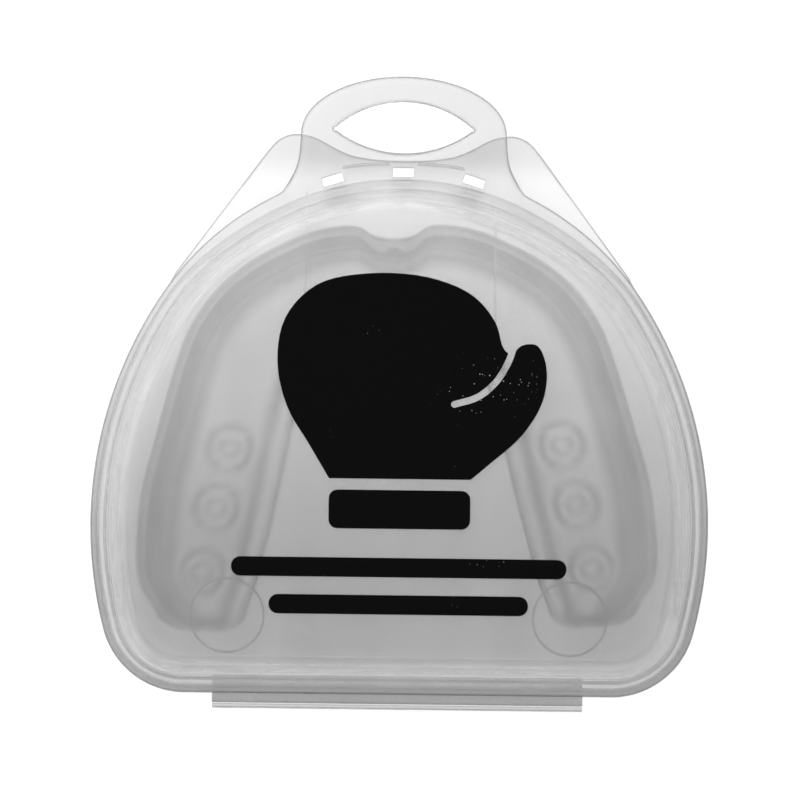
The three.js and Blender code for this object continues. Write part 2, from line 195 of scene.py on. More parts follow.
def smooth_line(points, steps):
    """A curve through the points, a set number of steps for each span."""
    made = []
    last = len(points) - 1
    for i in range(last):
        p0, p1, p2 = points[max(i - 1, 0)], points[i], points[i + 1]
        p3 = points[min(i + 2, last)]
        for s in range(steps):
            t = s / steps
            made.append(tuple(
                0.5 * (2 * p1[k] + (p2[k] - p0[k]) * t
                       + (2 * p0[k] - 5 * p1[k] + 4 * p2[k] - p3[k]) * t * t
                       + (3 * p1[k] - p0[k] - 3 * p2[k] + p3[k]) * t ** 3)
                for k in range(len(p1))))
    made.append(tuple(points[last]))
    return made


def offset(loop, distance):
    """The loop moved in by a distance, point by point; the loop runs clockwise."""
    moved = []
    count = len(loop)
    for i, (x, y) in enumerate(loop):
        ax, ay = loop[i - 1]
        bx, by = loop[(i + 1) % count]
        first = Vector((x - ax, y - ay)).normalized()
        second = Vector((bx - x, by - y)).normalized()
        along = (first + second).normalized()
        lean = max(0.5, along.dot(first))
        moved.append((x + along.y * distance / lean, y - along.x * distance / lean))
    return moved


def lid_edge():
    """Lid flange with the carry loop, clockwise from the loop's top."""
    half = []
    for i in range(29):
        a = math.pi / 2 * (1 - i / 28)
        half.append((LOOP_HALF_WIDE * math.cos(a), LOOP_MIDDLE_Y + LOOP_HIGH * math.sin(a)))
    neck = [(LOOP_HALF_WIDE, LOOP_MIDDLE_Y), (14.15, 32.8), (14.6, 30.6), (15.7, 28.4),
            (16.6, 27.05)]
    half += smooth_line(neck, 5)[1:-1]
    rest = [p for p in case_half(0) if p[0] > 16.4 or p[1] < 0]
    return whole(half + rest)


def base_edge():
    """Base flange with its two ears behind the carry loop, clockwise from the centre dip."""
    ear = [(0, 31.62), (2.1, 31.68), (4.2, 31.82), (7.0, 32.3), (9.4, 33.3), (11.5, 34.45),
           (13.3, 35.05), (15.2, 35.15), (17.0, 34.4), (18.6, 32.7), (21.6, 28.65), (24.6, 24.6),
           (27.6, 20.55), (30.9, 16.1)]
    rest = [p for p in case_half(0) if p[1] < 15.2]
    return whole(smooth_line(ear, 6) + rest)


def eye_loop():
    """Eye-shaped finger hole, clockwise, tips rounded."""
    half_wide, middle, top, bottom = 9.5, 35.9, 39.6, 32.65
    up = (half_wide ** 2 + (top - middle) ** 2) / (2 * (top - middle))
    down = (half_wide ** 2 + (middle - bottom) ** 2) / (2 * (middle - bottom))
    reach_up = math.asin(half_wide / up) * 0.96
    reach_down = math.asin(half_wide / down) * 0.96
    upper = arc(0, top - up, up, math.pi / 2 + reach_up, math.pi / 2 - reach_up, 36)
    lower = arc(0, bottom + down, down, -math.pi / 2 + reach_down, -math.pi / 2 - reach_down, 36)
    tip = [(9.46, 36.0), (9.56, 35.85), (9.42, 35.68)]
    other = [(-x, y) for x, y in reversed(tip)]
    return upper + tip + lower + other


def slot_loop(x, y, turn):
    """One slot, clockwise, with small round corners."""
    a = math.radians(turn)
    wide, high = SLOT_WIDE / 2, SLOT_HIGH / 2
    r = SLOT_ROUND
    points = []
    for cx, cy, start in ((wide - r, high - r, 90), (wide - r, r - high, 0),
                          (r - wide, r - high, -90), (r - wide, high - r, -180)):
        points += arc(cx, cy, r, math.radians(start), math.radians(start - 90), 3)
    return [(x + px * math.cos(a) - py * math.sin(a), y + px * math.sin(a) + py * math.cos(a))
            for px, py in points]


# ---- mesh building ----

def in_scene(name, data):
    item = bpy.data.objects.new(name, data)
    scene.collection.objects.link(item)
    return item


class Shape:
    """Points and faces gathered loop by loop, in millimetres."""

    def __init__(self):
        self.points = []
        self.faces = []

    def ring(self, points):
        start = len(self.points)
        self.points += [tuple(p) for p in points]
        return list(range(start, len(self.points)))

    def loop(self, points, z):
        return self.ring([(x, y, z) for x, y in points])

    def chain(self, rings):
        """Faces from each ring to the next one."""
        for first, second in zip(rings, rings[1:]):
            for i in range(len(first)):
                j = (i + 1) % len(first)
                self.faces.append((first[i], first[j], second[j], second[i]))

    def close_ends(self, rings):
        self.faces.append(tuple(rings[0]))
        self.faces.append(tuple(rings[-1]))

    def cap(self, loops):
        """A flat face inside the first loop and outside the others."""
        order = [i for loop in loops for i in loop]
        flat = [Vector(self.points[i][:2]) for i in order]
        edges, start = [], 0
        for loop in loops:
            count = len(loop)
            edges += [(start + i, start + (i + 1) % count) for i in range(count)]
            start += count
        made = delaunay_2d_cdt(flat, edges, [], 0, 1e-6)
        rims = [[self.points[i][:2] for i in loop] for loop in loops]
        for tri in made[2]:
            x = sum(made[0][k][0] for k in tri) / 3
            y = sum(made[0][k][1] for k in tri) / 3
            if inside(rims[0], x, y) and not any(inside(rim, x, y) for rim in rims[1:]):
                self.faces.append(tuple(order[made[3][k][0]] for k in tri))

    def build(self, name, material, body, replaces=()):
        mesh = bpy.data.meshes.new(name)
        mesh.from_pydata([tuple(c * MM for c in p) for p in self.points], [], self.faces)
        mesh.validate()
        bm = bmesh.new()
        bm.from_mesh(mesh)
        bmesh.ops.remove_doubles(bm, verts=bm.verts, dist=1e-7)
        bmesh.ops.recalc_face_normals(bm, faces=bm.faces)
        bm.to_mesh(mesh)
        bm.free()
        piece = in_scene(name, mesh)
        mesh.materials.append(material)
        for face in mesh.polygons:
            face.use_smooth = True
        mesh.set_sharp_from_angle(angle=math.radians(32))
        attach(piece, body)
        if replaces:
            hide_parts(*replaces)
        return piece


def inside(loop, x, y):
    """Whether a point is inside a loop, by counting the edges to its right."""
    odd = False
    for i, (bx, by) in enumerate(loop):
        ax, ay = loop[i - 1]
        if (ay > y) != (by > y) and x < (bx - ax) * (y - ay) / (by - ay) + ax:
            odd = not odd
    return odd


def round_edge(shape, loop, low, high, inward, radius, loop_round):
    """Rings up a plate's edge, rounded at both faces, more so out at the carry loop and ears."""
    shares = [min(1.0, max(0.0, (y - ROUNDER_FROM_Y) / ROUNDER_OVER)) for x, y in loop]
    rounds = [[radius + (out - radius) * share for out in loop_round] for share in shares]
    normals = [(px - x, py - y) for (x, y), (px, py) in zip(loop, offset(loop, inward))]
    rings = []
    for top in (False, True):
        for step in range(6):
            a = math.pi / 2 * step / 5
            back, rise = (math.cos(a), math.sin(a)) if top else (math.sin(a), math.cos(a))
            ring = []
            for (x, y), (nx, ny), (wide, tall) in zip(loop, normals, rounds):
                z = high - tall * (1 - rise) if top else low + tall * (1 - rise)
                ring.append((x + nx * wide * (1 - back), y + ny * wide * (1 - back), z))
            rings.append(shape.ring(ring))
    shape.chain(rings)
    return rings[0], rings[-1]


def half_case(name, body, edge, loop_round, holes, foot, depth, up, material, replaces):
    """One moulding: tub or dome, flange and holes. up is 1 for the lid and -1 for the base."""
    shape = Shape()
    near, far = foot, foot + up * FLANGE_THICK
    low, high = min(near, far), max(near, far)
    low_loops, high_loops = [], []
    for loop, side, radius, round_out in [(edge, 1.0, EDGE_ROUND, loop_round)] + holes:
        first, last = round_edge(shape, loop, low, high, side, radius, round_out)
        low_loops.append(first)
        high_loops.append(last)
    near_loops, far_loops = (low_loops, high_loops) if up > 0 else (high_loops, low_loops)

    def dome(skin, start_rise, fillet_steps):
        """Wall and roof of one side of the sheet; skin is how far it lies under the outside."""
        lines = []
        start = FLANGE_WIDE + skin
        for step in range(fillet_steps + 1):
            a = math.pi / 2 * step / fillet_steps
            lines.append((start - FOOT_FILLET * (1 - math.sin(a)),
                          start_rise + FOOT_FILLET * (1 - math.cos(a))))
        radius = SHOULDER_RADIUS - skin * 0.8
        wall_top = depth - skin - radius
        ledge = 0.0
        for share in (0.25, 0.5, LEDGE_AT, LEDGE_AT + 0.012, 0.85):
            if share > LEDGE_AT and skin == 0.0:
                ledge = LEDGE_WIDE
            rise = start_rise + 0.5 + (wall_top - start_rise - 0.5) * share
            lines.append((start + WALL_DRAFT * share + ledge, rise))
        for step in range(13):
            a = math.pi / 2 * step / 12
            lines.append((start + WALL_DRAFT + ledge + radius * (1 - math.cos(a)),
                          wall_top + radius * math.sin(a)))
        rings = [shape.loop(wall_line(inset), foot + up * rise) for inset, rise in lines]
        shape.chain(rings)
        shape.cap([rings[-1]])
        return rings[0]

    outer_foot = dome(0.0, FLANGE_THICK, 4)
    inner_foot = dome(WALL, 0.0, 3)
    shape.cap(far_loops + [outer_foot])
    shape.cap(near_loops + [inner_foot])
    return shape.build(name, material, body, replaces)


def base_lip(material):
    """Locating lip inside the lid wall, open along the hinge, with three snap nibs."""
    shape = Shape()
    low, high = BASE_TOP_Z - LIP_SINK, BASE_TOP_Z + LIP_RISE
    outer, inner = [[p for p in wall_half(inset) if p[1] > LIP_END_Y]
                    for inset in (LIP_OUTER, LIP_INNER)]
    right = list(zip(outer, inner))
    full = [((-a[0], a[1]), (-b[0], b[1])) for a, b in reversed(right[1:])] + right
    rings = []
    for (ox, oy), (ix, iy) in full:
        reach = math.hypot(ox - ix, oy - iy)
        ux, uy = (ox - ix) / reach, (oy - iy) / reach
        angle = math.degrees(math.atan2(ox, oy - CASE_TOP_Y + TOP_RADIUS))
        nib = NIB_OUT * max(math.exp(-((angle - at) / NIB_SPREAD) ** 4) for at in NIB_ANGLES)
        section = [
            (ox + ux * 0.55, oy + uy * 0.55, low),
            (ox + ux * 0.55, oy + uy * 0.55, BASE_TOP_Z - 0.25), (ox, oy, BASE_TOP_Z + 0.02),
            (ox + ux * nib, oy + uy * nib, BASE_TOP_Z + 0.55),
            (ox + ux * nib, oy + uy * nib, high - 0.45),
            (ox - ux * 0.08, oy - uy * 0.08, high - 0.12),
            (ox - ux * 0.25, oy - uy * 0.25, high), (ix + ux * 0.2, iy + uy * 0.2, high),
            (ix, iy, high - 0.2), (ix, iy, low + 0.6), (ix + ux * 0.3, iy + uy * 0.3, low),
        ]
        rings.append(shape.ring(section))
    shape.chain(rings)
    shape.close_ends(rings)
    return shape.build("base_lip", material, "base")


def hinge_leaf(name, fold_z, body, material):
    """Thin leaf from a flange to its fold line, its free edge round."""
    shape = Shape()
    half = LEAF_THICK / 2
    profile = [(LEAF_START_Y, fold_z + half)]
    for step in range(9):
        a = math.pi / 2 - math.pi * step / 8
        profile.append((FOLD_Y + half - half * math.cos(a), fold_z + half * math.sin(a)))
    profile.append((LEAF_START_Y, fold_z - half))
    strip_along_x(shape, profile, HINGE_HALF, 0.35)
    return shape.build(name, material, body)


def strip_along_x(shape, profile, half_long, taper):
    """A profile of (y, z) run along X, its ends drawn in a little."""
    middle_y = sum(p[0] for p in profile) / len(profile)
    middle_z = sum(p[1] for p in profile) / len(profile)
    rings = []
    for x, size in ((-half_long, 0.55), (-half_long + taper * 0.4, 0.88), (-half_long + taper, 1.0),
                    (half_long - taper, 1.0), (half_long - taper * 0.4, 0.88), (half_long, 0.55)):
        rings.append(shape.ring([
            (x, middle_y + (y - middle_y) * (0.7 + 0.3 * size), middle_z + (z - middle_z) * size)
            for y, z in profile]))
    shape.chain(rings)
    shape.close_ends(rings)


def hinge_strap(material):
    """Strap between the two fold lines, thinner at each fold."""
    shape = Shape()
    profile = []
    low, high = FOLD_LOW_Z + FOLD_GAP, FOLD_HIGH_Z - FOLD_GAP
    for share in (0.0, 0.12, 0.3, 0.5, 0.7, 0.88, 1.0):
        bow = 0.22 * (1 - abs(2 * share - 1) ** 3)
        profile.append((STRAP_OUTER_Y + 0.22 - bow, low + (high - low) * share))
    for share in (1.0, 0.85, 0.5, 0.15, 0.0):
        bow = 0.1 * (1 - abs(2 * share - 1) ** 3)
        profile.append((STRAP_INNER_Y - 0.05 - bow, low + (high - low) * share))
    strip_along_x(shape, profile, HINGE_HALF, 0.3)
    return shape.build("case_hinge_strap", material, "hinge", ["hinge_strap"])


def lid_pads(material):
    """Thin raised rims of the two round pads near the hinge corners."""
    shape = Shape()
    for side in (-1, 1):
        rings = []
        for radius, rise in PAD_RIM:
            loop = [(side * PAD_X + radius * math.cos(2 * math.pi * i / 72),
                     PAD_Y + radius * math.sin(2 * math.pi * i / 72)) for i in range(72)]
            rings.append(shape.loop(loop, CASE_DEPTH + rise))
        shape.chain(rings + rings[:1])
    return shape.build("lid_pads", material, "lid")


def raised_line(shape, points, wide, z, rise):
    """A low rounded ridge along a line on a flat panel."""
    line = smooth_line(points, 8)
    rings = []
    for i, (x, y) in enumerate(line):
        ax, ay = line[max(0, i - 1)]
        bx, by = line[min(len(line) - 1, i + 1)]
        run = math.hypot(bx - ax, by - ay)
        nx, ny = (by - ay) / run, (ax - bx) / run
        size = 0.4 if i in (0, len(line) - 1) else 1.0
        rings.append(shape.ring([
            (x + nx * wide * across * size, y + ny * wide * across * size, z + up * size)
            for across, up in ((-0.5, -0.02), (-0.3, rise * 0.8), (0.0, rise),
                               (0.3, rise * 0.8), (0.5, -0.02))]))
    shape.chain(rings)
    shape.close_ends(rings)


def lid_witness_lines(material):
    """Faint insert lines the mould leaves on the lid, and the ridges between its slots."""
    shape = Shape()
    for line in INSERT_LINES:
        raised_line(shape, line, 0.3, CASE_DEPTH, 0.05)
    raised_line(shape, CROSS_LINE, 0.25, CASE_DEPTH, 0.03)
    for side in (-1, 1):
        raised_line(shape, [(side * x, y) for x, y in SLOT_RIDGE], 0.4,
                    LID_FOOT_Z + FLANGE_THICK, 0.18)
    return shape.build("lid_witness_lines", material, "lid")


def snap_pads(material):
    """Two thickened pads on the base wall that back up the snaps."""
    shape = Shape()
    for middle, y in SNAP_PADS:
        rings = []
        for x, size in SNAP_PAD_RUN:
            rings.append(shape.ring([
                (middle + x, y - abs(x) * 0.05 + py * size, SNAP_PAD_Z + pz * size)
                for py, pz in SNAP_PAD_SECTION]))
        shape.chain(rings)
        shape.close_ends(rings)
    return shape.build("snap_pads", material, "base")


# ---- mouthguard ----

def both_sides(points):
    return [(-x, y) for x, y in reversed(points[1:])] + list(points)


def guard_section(wide, rim, lingual):
    """Section from the tongue side (0) to the lip side (wide), rounded everywhere."""
    foot = GUARD_FOOT
    floor = CHANNEL_FLOOR
    inside = wide - 3.4
    return [
        (2.2, foot), (wide - 4.0, foot), (wide - 1.8, foot + 1.4), (wide - 0.5, foot + 5),
        (wide, foot + 11), (wide - 0.1, rim - 1.4), (wide - 0.7, rim - 0.35),
        (wide - 1.8, rim), (wide - 2.8, rim - 0.4), (inside, rim - 1.8),
        (inside - 0.5, floor + 4.5), (inside - 1.1, floor + 1.4), (inside - 2.4, floor + 0.1),
        *[(inside - 2.4 - (inside - 7.3) * k / 7, floor) for k in range(1, 7)],
        (4.9, floor), (3.6, floor + 0.9), (3.0, floor + 2.8),
        (2.8, lingual - 1.1), (2.2, lingual - 0.2), (1.4, lingual), (0.6, lingual - 0.3),
        (0.1, lingual - 1.4), (0.0, foot + 5), (0.7, foot + 1.4)]


def closed_curve(points, steps):
    """A smooth closed loop through the points."""
    made = []
    count = len(points)
    for i in range(count):
        window = [points[(i + k - 1) % count] for k in range(4)]
        span = smooth_line(window, steps)
        made += span[steps:2 * steps]
    return made


def mound(x, y, size, power):
    """Height of a flat-topped mound over each back tooth, from 0 to 1."""
    return sum(math.exp(-(((abs(x) - mx) / size[0]) ** 2 + ((y - my) / size[1]) ** 2) ** power)
               for mx, my in MOLARS)


def mouthguard(material):
    """The guard: a section run round the arch, with three lobes on each arm's channel floor."""
    shape = Shape()
    outer = smooth_line(both_sides(OUTER_LINE), 7)
    inner = smooth_line(both_sides(INNER_LINE), 7)
    count = len(outer) - 1
    rings = []
    for i, ((ox, oy), (ix, iy)) in enumerate(zip(outer, inner)):
        along = abs(i / count - 0.5) * 2
        notch = NOTCH_DEEP * math.exp(-((ox / NOTCH_HALF_WIDE) ** 2))
        rim = GUARD_RIM - RIM_DROP * along ** 2 - notch
        lingual = TONGUE_WALL - TONGUE_WALL_DROP * along
        wide = math.hypot(ox - ix, oy - iy)
        section = closed_curve(guard_section(wide, rim, lingual), 3)
        ring = []
        for s, z in section:
            share = s / wide
            x, y = ix + (ox - ix) * share, iy + (oy - iy) * share
            if 4.0 < s < wide - 4.5 and z > GUARD_FOOT + 3.0:
                z += LOBE_HIGH * mound(x, y, LOBE_SIZE, 4) - PIT_DEEP * mound(x, y, PIT_SIZE, 2)
            ring.append((x, y, z))
        rings.append(ring)
    loops = [shape.ring(guard_end(rings[0], rings[1], step)) for step in (4, 3, 2, 1)]
    loops += [shape.ring(turned(ring)) for ring in rings]
    loops += [shape.ring(guard_end(rings[-1], rings[-2], step)) for step in (1, 2, 3, 4)]
    shape.chain(loops)
    shape.close_ends(loops)
    piece = shape.build("mouthguard", material, "mouthguard", ["mouthguard_tray"])
    piece.data.set_sharp_from_angle(angle=math.radians(180))
    return piece


def turned(ring):
    """The guard lies a little off square in the tub."""
    c, s = math.cos(GUARD_TURN), math.sin(GUARD_TURN)
    return [(x * c - y * s + GUARD_SHIFT_X, x * s + y * c, z) for x, y, z in ring]


def guard_end(ring, before, step):
    """Rounds off the end of an arm: the section shrinks as it runs on past its last place."""
    middle, back = [[sum(p[k] for p in line) / len(line) for k in range(3)]
                    for line in (ring, before)]
    run = Vector((middle[0] - back[0], middle[1] - back[1], 0)).normalized()
    a = math.radians(22.5 * step)
    size = max(0.04, math.cos(a))
    far = ARM_END_RUN * math.sin(a)
    made = []
    for x, y, z in ring:
        made.append((middle[0] + (x - middle[0]) * (0.3 + 0.7 * size) + run.x * far,
                     middle[1] + (y - middle[1]) * (0.3 + 0.7 * size) + run.y * far,
                     middle[2] + (z - middle[2]) * (0.25 + 0.75 * size)))
    return turned(made)


# ---- materials ----

def grey(level):
    return (level, level, level, 1)


def blank_material(name):
    material = bpy.data.materials.new(name)
    material.use_nodes = True
    material.node_tree.nodes.clear()
    return material, material.node_tree.nodes, material.node_tree.links


def clear_plastic(name, flow_seed, tint, wall_blur, flange_edge_shade_level, milk):
    """Clear, slightly milky polypropylene: flow streaks, soft mould finish, hairline rubs; its tone
    carries painted shade towards the hinge, painted light on the walls and a painted dark line at
    the flange edges.
    """
    material, nodes, links = blank_material(name)

    output = nodes.new("ShaderNodeOutputMaterial")
    output.label = "Case plastic out"
    plastic = nodes.new("ShaderNodeBsdfPrincipled")
    plastic.label = "Clear polypropylene"
    straight = nodes.new("ShaderNodeBsdfTransparent")
    straight.label = "Light straight through the thin sheet"
    sheet = nodes.new("ShaderNodeMixShader")
    sheet.label = "Bent light and straight light"
    place = nodes.new("ShaderNodeTexCoord")
    place.label = "Place on the moulding"

    milk_frame = nodes.new("NodeFrame")
    milk_frame.label = "Milkiness, flow streaks and painted light"
    stretch = nodes.new("ShaderNodeMapping")
    stretch.label = "Streaks run away from the gate"
    flow = nodes.new("ShaderNodeTexNoise")
    flow.label = "Flow streaks"
    cloud = nodes.new("ShaderNodeTexNoise")
    cloud.label = "Cloudy patches"
    milk_mix = nodes.new("ShaderNodeMath")
    milk_mix.label = "Streaks times patches"
    milk_range = nodes.new("ShaderNodeMapRange")
    milk_range.label = "How clear it stays"
    split = nodes.new("ShaderNodeSeparateXYZ")
    split.label = "Hinge to loop"
    along = nodes.new("ShaderNodeMapRange")
    along.label = "Share of the way to the loop"
    # Painted shade: the panel tone grows darker towards the hinge and dips by the carry loop's end.
    tone = nodes.new("ShaderNodeValToRGB")
    tone.label = "Painted shade, deeper towards the hinge"
    facing = nodes.new("ShaderNodeSeparateXYZ")
    facing.label = "Which way the skin faces"
    flatness = nodes.new("ShaderNodeMath")
    flatness.label = "Up or down alike"
    # Painted light: steep walls, told by which way the skin faces, get a lighter tone than the flat
    # panels; the same share makes the walls less glossy.
    thin = nodes.new("ShaderNodeMapRange")
    thin.label = "Share of steep wall, painted lighter and less glossy"
    wall_painted_light = nodes.new("ShaderNodeValToRGB")
    wall_painted_light.label = "Walls painted lighter, painted shade towards the hinge"
    skin = nodes.new("ShaderNodeMix")
    skin.label = "Panel shade and lighter painted walls"
    from_flange = nodes.new("ShaderNodeMath")
    from_flange.label = "Height over the flange joint"
    near_flange = nodes.new("ShaderNodeMath")
    near_flange.label = "Distance from the joint"
    band = nodes.new("ShaderNodeMapRange")
    band.label = "Within the flange"
    # Painted shade: steep skin within the flange height is darkened to draw a dark line along the
    # flange edges.
    flange_edge_shade_mask = nodes.new("ShaderNodeMath")
    flange_edge_shade_mask.label = "Steep skin at the flange, for painted shade"
    flange_edge_shaded = nodes.new("ShaderNodeMix")
    flange_edge_shaded.label = "Painted dark line along the flange edge"
    patch = nodes.new("ShaderNodeMix")
    patch.label = "Patches in the tone"

    polish_frame = nodes.new("NodeFrame")
    polish_frame.label = "Mould polish"
    polish = nodes.new("ShaderNodeTexNoise")
    polish.label = "Uneven polish"
    polish_range = nodes.new("ShaderNodeMapRange")
    polish_range.label = "Gloss from polish"
    wall_gloss = nodes.new("ShaderNodeMath")
    wall_gloss.label = "Walls less polished than panels"

    skin_frame = nodes.new("NodeFrame")
    skin_frame.label = "Sink waves and hairline rubs"
    waves = nodes.new("ShaderNodeTexNoise")
    waves.label = "Slow sink waves"
    rub_map = nodes.new("ShaderNodeMapping")
    rub_map.label = "Rubs lie mostly one way"
    rubs = nodes.new("ShaderNodeTexNoise")
    rubs.label = "Hairline rubs"
    rub_cut = nodes.new("ShaderNodeMapRange")
    rub_cut.label = "Only the deepest rubs"
    wave_bump = nodes.new("ShaderNodeBump")
    wave_bump.label = "Sink wave relief"
    rub_bump = nodes.new("ShaderNodeBump")
    rub_bump.label = "Rub relief"

    for node, spot in (
            (output, (1200, 0)), (plastic, (700, 0)), (straight, (700, 160)), (sheet, (980, 0)),
            (place, (-1100, 0)), (stretch, (-860, 300)), (flow, (-640, 300)),
            (cloud, (-640, 40)), (milk_mix, (-400, 180)), (milk_range, (-180, 180)),
            (split, (-860, 560)), (along, (-640, 560)), (tone, (-400, 560)),
            (facing, (-860, 860)), (flatness, (-640, 860)), (thin, (-400, 860)),
            (wall_painted_light, (-400, 760)), (skin, (-120, 640)), (from_flange, (-640, 1100)),
            (near_flange, (-400, 1100)), (band, (-120, 1100)), (flange_edge_shade_mask, (120, 960)),
            (flange_edge_shaded, (160, 700)), (patch, (380, 420)), (polish, (-640, -240)),
            (polish_range, (-180, -180)), (wall_gloss, (100, -120)), (waves, (-640, -480)),
            (rub_map, (-860, -740)), (rubs, (-640, -740)), (rub_cut, (-400, -740)),
            (wave_bump, (160, -480)), (rub_bump, (420, -480))):
        node.location = spot

    for node in (stretch, flow, cloud, milk_mix, milk_range, split, along, tone, facing, flatness,
                 thin, wall_painted_light, skin, from_flange, near_flange, band, flange_edge_shade_mask, flange_edge_shaded, patch):
        node.parent = milk_frame
    for node in (polish, polish_range, wall_gloss):
        node.parent = polish_frame
    for node in (waves, rub_map, rubs, rub_cut, wave_bump, rub_bump):
        node.parent = skin_frame

    sheet.inputs["Fac"].default_value = 0.45
    plastic.inputs["IOR"].default_value = 1.49
    plastic.inputs["Specular IOR Level"].default_value = 0.2
    stretch.inputs["Location"].default_value = (flow_seed, 0.3 * flow_seed, 0.0)
    stretch.inputs["Scale"].default_value = (1.0, 0.22, 1.0)
    for node, scale, detail in (
            (flow, 170.0, 2.0), (cloud, 45.0, 2.0), (polish, 60.0, 5.0), (waves, 30.0, 1.0),
            (rubs, 900.0, 2.0)):
        node.inputs["Scale"].default_value = scale
        node.inputs["Detail"].default_value = detail
    flow.inputs["Roughness"].default_value = 0.55
    milk_mix.operation = "MULTIPLY"
    for node, low, high, first, last in (
            (milk_range, 0.12, 0.42, 1.0 - 0.6 * milk, 1.0 - milk),
            (along, -0.043, 0.043, 0.0, 1.0),
            (thin, 0.97, 0.4, 0.0, 1.0),
            (band, 0.0015, 0.0019, 1.0, 0.0),
            (polish_range, 0.3, 0.7, 0.06, 0.12),
            (rub_cut, 0.70, 0.78, 0.0, 1.0)):
        node.inputs["From Min"].default_value = low
        node.inputs["From Max"].default_value = high
        node.inputs["To Min"].default_value = first
        node.inputs["To Max"].default_value = last
    flatness.operation = "ABSOLUTE"
    from_flange.operation = "SUBTRACT"
    from_flange.inputs[1].default_value = 0.0135
    near_flange.operation = "ABSOLUTE"
    flange_edge_shade_mask.operation = "MULTIPLY"
    for node in (skin, flange_edge_shaded, patch):
        node.data_type = "RGBA"
    # Painted shade level of the dark line along the flange edges.
    flange_edge_shaded.inputs[7].default_value = grey(flange_edge_shade_level)
    wall_gloss.operation = "MULTIPLY_ADD"
    wall_gloss.inputs[1].default_value = wall_blur
    # Painted light on the walls: 0.965 towards the hinge up to 0.998 towards the loop, lighter than
    # the panels.
    wall_painted_light.color_ramp.elements[0].position = 0.2
    wall_painted_light.color_ramp.elements[0].color = grey(0.965)
    wall_painted_light.color_ramp.elements[1].position = 0.65
    wall_painted_light.color_ramp.elements[1].color = grey(0.998)
    # Painted shade in the panel tone: full tint at the loop side, 0.785 of it towards the hinge,
    # 0.89 of it by the loop end.
    tone.color_ramp.interpolation = "EASE"
    tone.color_ramp.elements[0].position = 0.12
    tone.color_ramp.elements[0].color = grey(tint * 0.785)
    tone.color_ramp.elements[1].position = 0.83
    tone.color_ramp.elements[1].color = grey(tint)
    loop_end_shade = tone.color_ramp.elements.new(0.885)
    loop_end_shade.color = grey(tint * 0.89)
    patch.blend_type = "MULTIPLY"
    patch.inputs[0].default_value = 0.06
    rub_map.inputs["Rotation"].default_value = (0.0, 0.0, math.radians(24))
    rub_map.inputs["Scale"].default_value = (1.0, 0.03, 1.0)
    wave_bump.inputs["Strength"].default_value = 0.03
    wave_bump.inputs["Distance"].default_value = 0.0006
    rub_bump.inputs["Strength"].default_value = 0.05
    rub_bump.inputs["Distance"].default_value = 0.00003

    links.new(place.outputs["Object"], stretch.inputs["Vector"])
    links.new(stretch.outputs["Vector"], flow.inputs["Vector"])
    links.new(place.outputs["Object"], cloud.inputs["Vector"])
    links.new(flow.outputs["Fac"], milk_mix.inputs[0])
    links.new(cloud.outputs["Fac"], milk_mix.inputs[1])
    links.new(milk_mix.outputs["Value"], milk_range.inputs["Value"])
    links.new(place.outputs["Object"], split.inputs["Vector"])
    links.new(split.outputs["Y"], along.inputs["Value"])
    links.new(along.outputs["Result"], tone.inputs["Fac"])
    links.new(place.outputs["Normal"], facing.inputs["Vector"])
    links.new(facing.outputs["Z"], flatness.inputs[0])
    links.new(flatness.outputs["Value"], thin.inputs["Value"])
    links.new(along.outputs["Result"], wall_painted_light.inputs["Fac"])
    links.new(wall_painted_light.outputs["Color"], skin.inputs[7])
    links.new(thin.outputs["Result"], skin.inputs[0])
    links.new(tone.outputs["Color"], skin.inputs[6])
    links.new(split.outputs["Z"], from_flange.inputs[0])
    links.new(from_flange.outputs["Value"], near_flange.inputs[0])
    links.new(near_flange.outputs["Value"], band.inputs["Value"])
    links.new(band.outputs["Result"], flange_edge_shade_mask.inputs[0])
    links.new(thin.outputs["Result"], flange_edge_shade_mask.inputs[1])
    links.new(flange_edge_shade_mask.outputs["Value"], flange_edge_shaded.inputs[0])
    links.new(skin.outputs[2], flange_edge_shaded.inputs[6])
    links.new(flange_edge_shaded.outputs[2], patch.inputs[6])
    links.new(milk_mix.outputs["Value"], patch.inputs[7])
    links.new(milk_range.outputs["Result"], plastic.inputs["Transmission Weight"])
    links.new(patch.outputs[2], plastic.inputs["Base Color"])
    links.new(place.outputs["Object"], polish.inputs["Vector"])
    links.new(polish.outputs["Fac"], polish_range.inputs["Value"])
    links.new(thin.outputs["Result"], wall_gloss.inputs[0])
    links.new(polish_range.outputs["Result"], wall_gloss.inputs[2])
    links.new(wall_gloss.outputs["Value"], plastic.inputs["Roughness"])
    links.new(place.outputs["Object"], waves.inputs["Vector"])
    links.new(waves.outputs["Fac"], wave_bump.inputs["Height"])
    links.new(place.outputs["Object"], rub_map.inputs["Vector"])
    links.new(rub_map.outputs["Vector"], rubs.inputs["Vector"])
    links.new(rubs.outputs["Fac"], rub_cut.inputs["Value"])
    links.new(rub_cut.outputs["Result"], rub_bump.inputs["Height"])
    links.new(wave_bump.outputs["Normal"], rub_bump.inputs["Normal"])
    links.new(rub_bump.outputs["Normal"], plastic.inputs["Normal"])
    links.new(patch.outputs[2], straight.inputs["Color"])
    links.new(plastic.outputs["BSDF"], sheet.inputs[1])
    links.new(straight.outputs["BSDF"], sheet.inputs[2])
    links.new(sheet.outputs["Shader"], output.inputs["Surface"])
    return material


